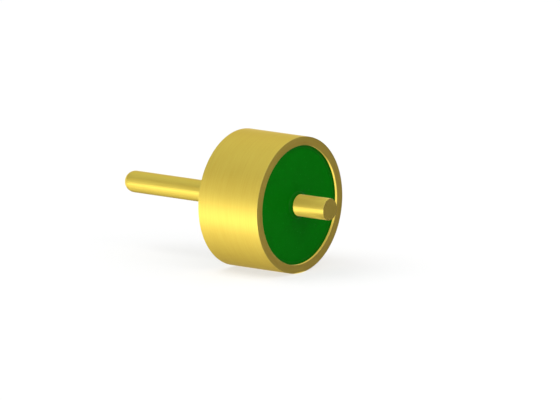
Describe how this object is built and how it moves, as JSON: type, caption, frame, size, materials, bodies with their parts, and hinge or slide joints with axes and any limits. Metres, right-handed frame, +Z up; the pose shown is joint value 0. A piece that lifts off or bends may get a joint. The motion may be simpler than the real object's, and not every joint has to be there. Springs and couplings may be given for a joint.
{
  "type": "glass-to-metal sealed rf pin",
  "caption": "Round metal ring with a recessed glass bead fused inside it, which holds a straight central pin and carries a radio-frequency signal through a sealed housing wall.",
  "frame": {"origin": "centre of the ring, on the pin's axis", "axes": "+X along the pin towards its short flat end; +Z up; the part is a body of revolution about X"},
  "size_m": [0.0059, 0.0032, 0.0032],
  "materials": {
    "gold_plated_ring": "satin gold plate over a turned sealing alloy",
    "green_sealing_glass": "fire-polished opaque green glass",
    "gold_plated_pin": "satin gold plate over drawn sealing-alloy wire"
  },
  "bodies": {
    "root": {"ring": "gold_plated_ring", "glass_bead": "green_sealing_glass", "pin": "gold_plated_pin"}
  },
  "joints": []
}
